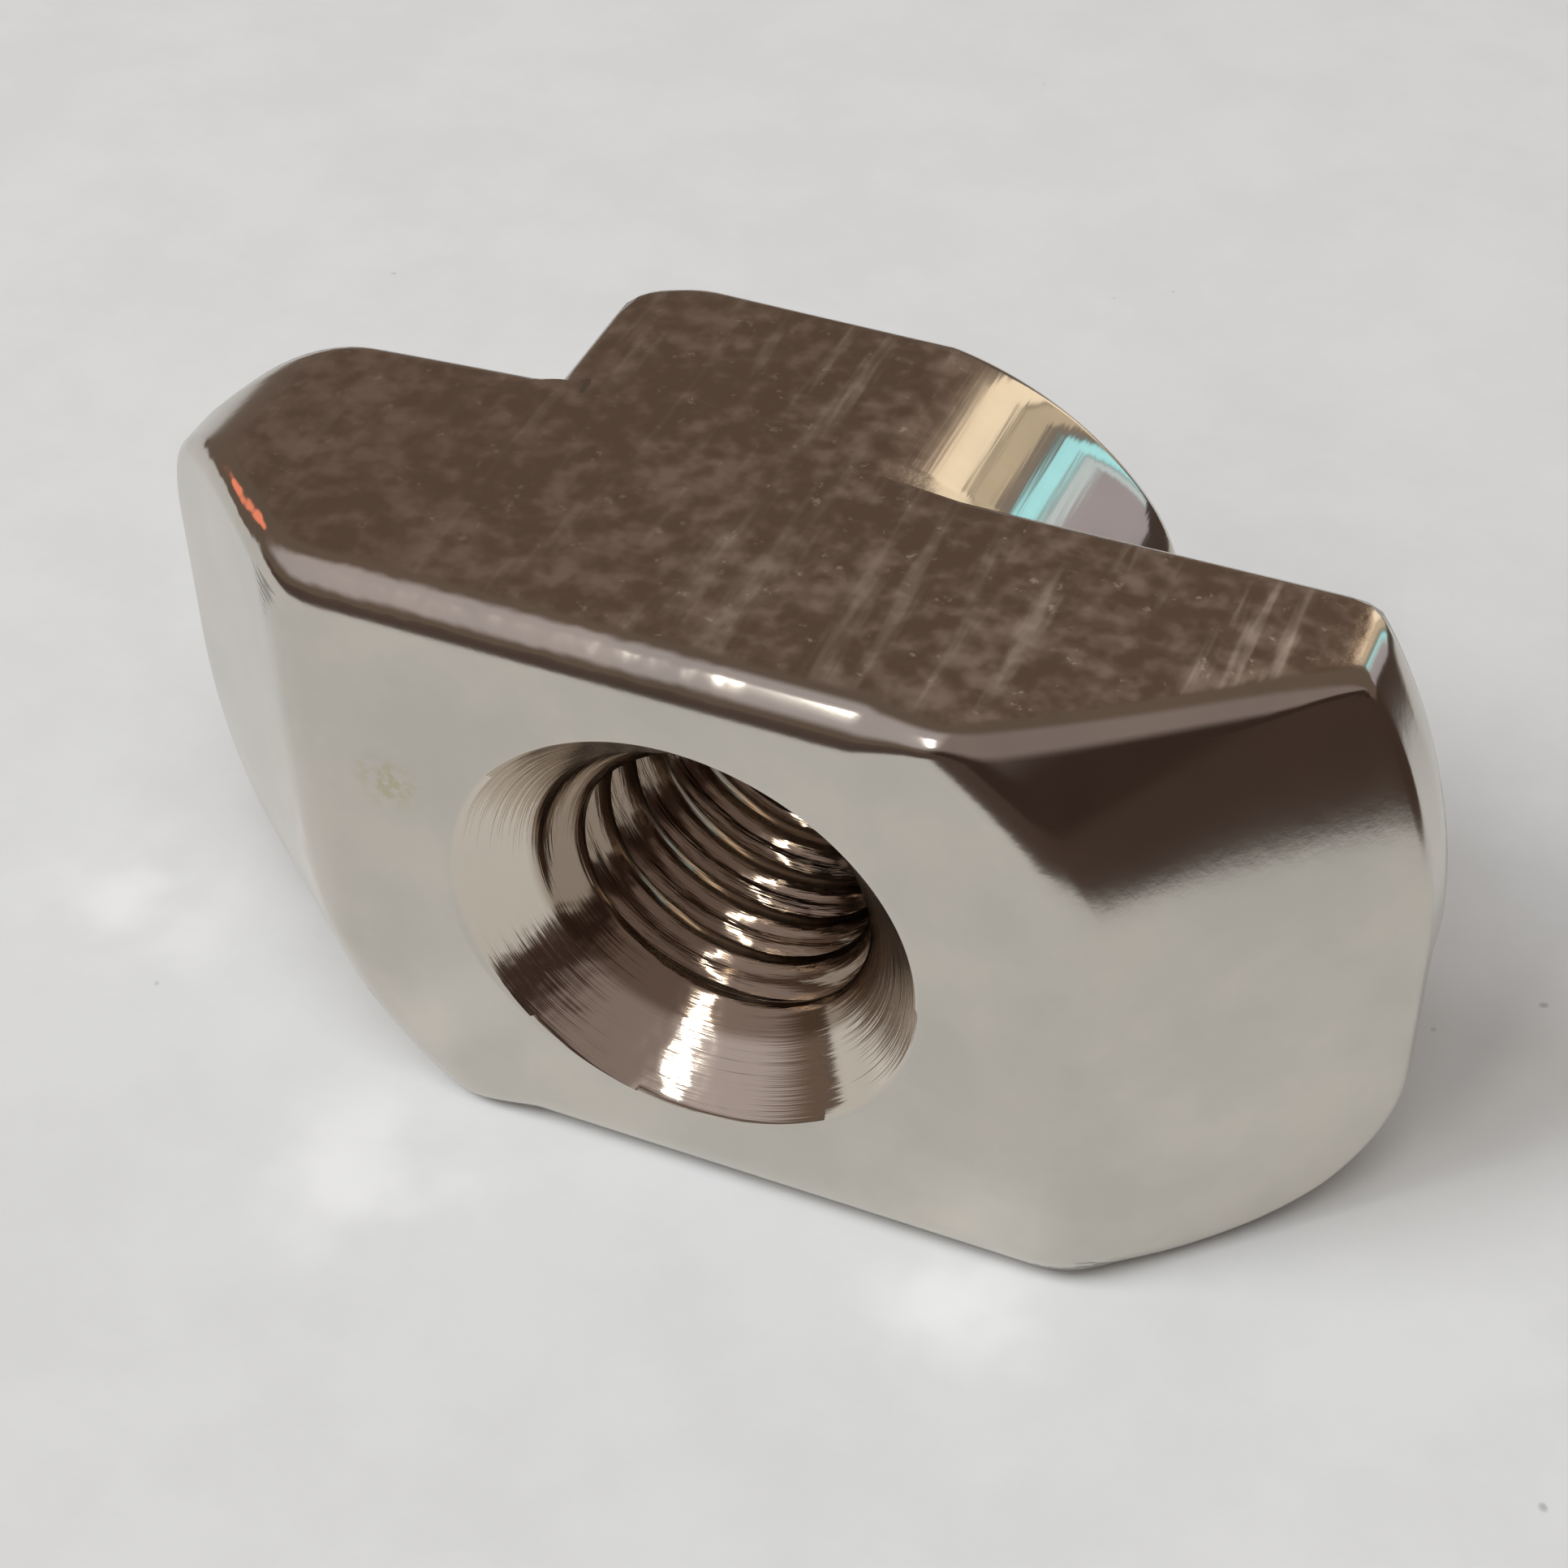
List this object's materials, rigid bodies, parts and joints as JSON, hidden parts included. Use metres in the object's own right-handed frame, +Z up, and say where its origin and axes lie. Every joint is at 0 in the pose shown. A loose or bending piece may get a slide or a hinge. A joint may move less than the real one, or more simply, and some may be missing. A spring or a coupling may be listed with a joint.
{
  "type": "t-slot nut",
  "caption": "Drop-in hammer nut for a slotted profile: oblong head with round ends and slanted underside, opposite corners relieved, raised boss and a threaded through hole.",
  "frame": {"origin": "under the middle of the nut, on the side wall that it stands on, halfway between the flat face and the top of the boss", "axes": "+X along the length, +Y from the flat face to the top of the boss, along the thread axis, +Z up"},
  "size_m": [0.0112, 0.0046, 0.0058],
  "materials": {
    "plated_steel": "bright nickel plating over forged and turned steel, side walls dull and streaked"
  },
  "bodies": {
    "root": {"nut": "plated_steel"}
  },
  "joints": []
}
